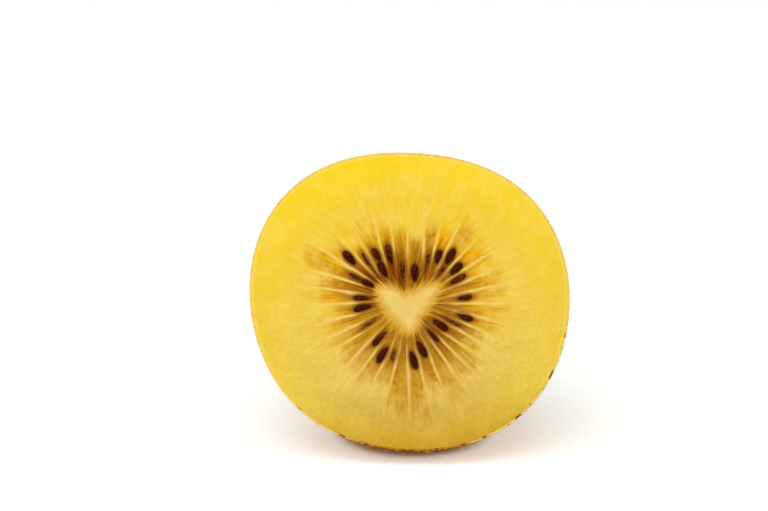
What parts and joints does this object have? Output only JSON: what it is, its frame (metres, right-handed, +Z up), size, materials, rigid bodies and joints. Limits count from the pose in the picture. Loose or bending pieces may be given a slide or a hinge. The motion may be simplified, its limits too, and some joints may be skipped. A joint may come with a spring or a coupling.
{
  "type": "golden kiwi fruit half",
  "caption": "Cut half of a golden kiwi fruit resting on its skin: yellow flesh with pale rays and small dark seeds round a cream heart-shaped core, in a thin brown skin.",
  "frame": {"origin": "centre of the small flat spot on the skin that the half rests on", "axes": "+Z up; the cut face looks towards -Y and leans back 20 degrees; +X to the right as seen from in front of the cut face; the stem end points towards +Y and down"},
  "size_m": [0.0517, 0.0412, 0.0478],
  "materials": {
    "skin": "dry golden brown skin with short fine fuzz, matte",
    "flesh": "moist translucent yellow fruit flesh, with pale rays, amber seed chambers and glossy dark brown seeds",
    "core": "moist cream yellow core, softer gloss than the flesh"
  },
  "bodies": {
    "root": {"skin": "skin", "flesh": "flesh", "core": "core"}
  },
  "joints": []
}
